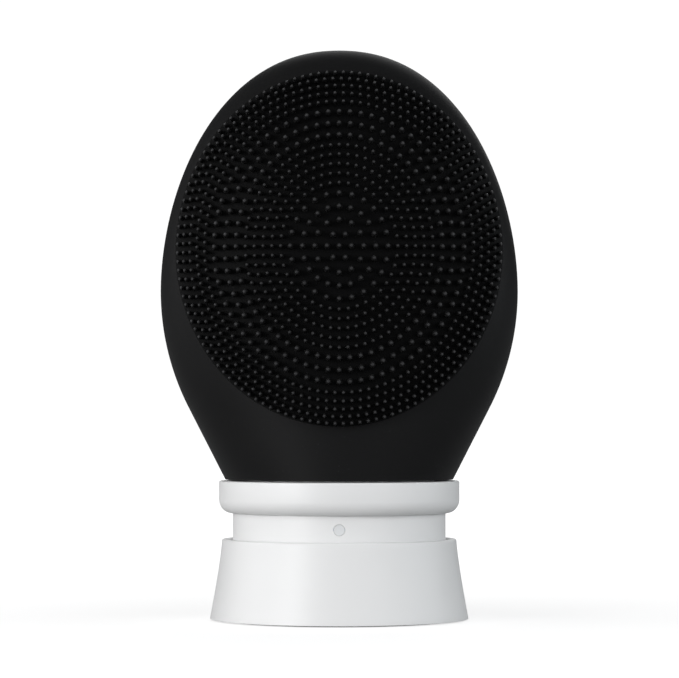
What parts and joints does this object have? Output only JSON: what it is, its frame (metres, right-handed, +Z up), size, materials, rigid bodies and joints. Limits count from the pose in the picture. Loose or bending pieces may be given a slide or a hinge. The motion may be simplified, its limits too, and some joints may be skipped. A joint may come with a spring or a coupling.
{
  "type": "skin scrubber",
  "caption": "Face and body skin scrubber: a flattened egg head in soft silicone with moulded touch points on one side, on a round neck that stands in a flared charging stand.",
  "frame": {"origin": "middle of the stand's foot, on the surface it stands on", "axes": "+Z up along the neck, -Y towards the side with the touch points, +X to the right of someone facing them"},
  "size_m": [0.08, 0.0578, 0.1274],
  "materials": {
    "white_plastic": "satin moulded",
    "black_silicone": "satin moulded silicone",
    "black_plastic": "satin moulded",
    "grey_plastic": "moulded",
    "foot_rubber": "matt",
    "steel": "plain",
    "copper": "enamelled winding",
    "ferrite": "sintered",
    "circuit_board": "coated board",
    "cell_wrap": "shrink sleeve",
    "clear_lens": "frosted light guide",
    "lead_red": "wire sleeve",
    "lead_black": "wire sleeve"
  },
  "bodies": {
    "stand": {"stand_shell": "white_plastic", "stand_base_plate": "white_plastic", "foot_ring": "foot_rubber", "stand_screw_1": "steel", "stand_screw_2": "steel", "stand_screw_3": "steel", "stand_board": "circuit_board", "transmitter_coil": "copper", "transmitter_ferrite": "ferrite", "charge_inlet": "steel"},
    "scrubber": {"battery_cell": "cell_wrap", "battery_lead_minus": "lead_black", "battery_lead_plus": "lead_red", "bracket_screw_1": "steel", "bracket_screw_2": "steel", "charge_lamp": "clear_lens", "charging_board": "circuit_board", "chassis": "grey_plastic", "chassis_screw_1": "steel", "chassis_screw_2": "steel", "chassis_screw_3": "steel", "chassis_screw_4": "steel", "collar_ring": "white_plastic", "front_shell": "black_plastic", "light_pipe": "clear_lens", "main_board": "circuit_board", "motor_bracket": "grey_plastic", "motor_case": "steel", "motor_endcap": "black_plastic", "motor_lead_minus": "lead_black", "motor_lead_plus": "lead_red", "motor_magnet": "ferrite", "neck_cap": "white_plastic", "neck_gasket": "foot_rubber", "neck_housing": "white_plastic", "rear_shell": "black_plastic", "receiver_coil": "copper", "receiver_ferrite": "ferrite", "silicone_sleeve": "black_silicone", "switch_body": "black_plastic"},
    "rotor": {"motor_rotor": "copper", "eccentric_weight": "steel"},
    "power_button": {"power_button": "black_plastic", "switch_plunger": "grey_plastic"}
  },
  "joints": [
    {"name": "lift_from_stand", "type": "slide", "parent": "stand", "child": "scrubber", "axis": [0, 0, 1], "range_m": [0, 0.03]},
    {"name": "rotor_spin", "type": "hinge", "parent": "scrubber", "child": "rotor", "pos_m": [0, -0.0058, 0.084], "axis": [0, 0, 1], "continuous": true},
    {"name": "power_button_press", "type": "slide", "parent": "scrubber", "child": "power_button", "axis": [0, -1, 0], "range_m": [0, 0.0008], "stiffness_N_per_m": 1500}
  ]
}
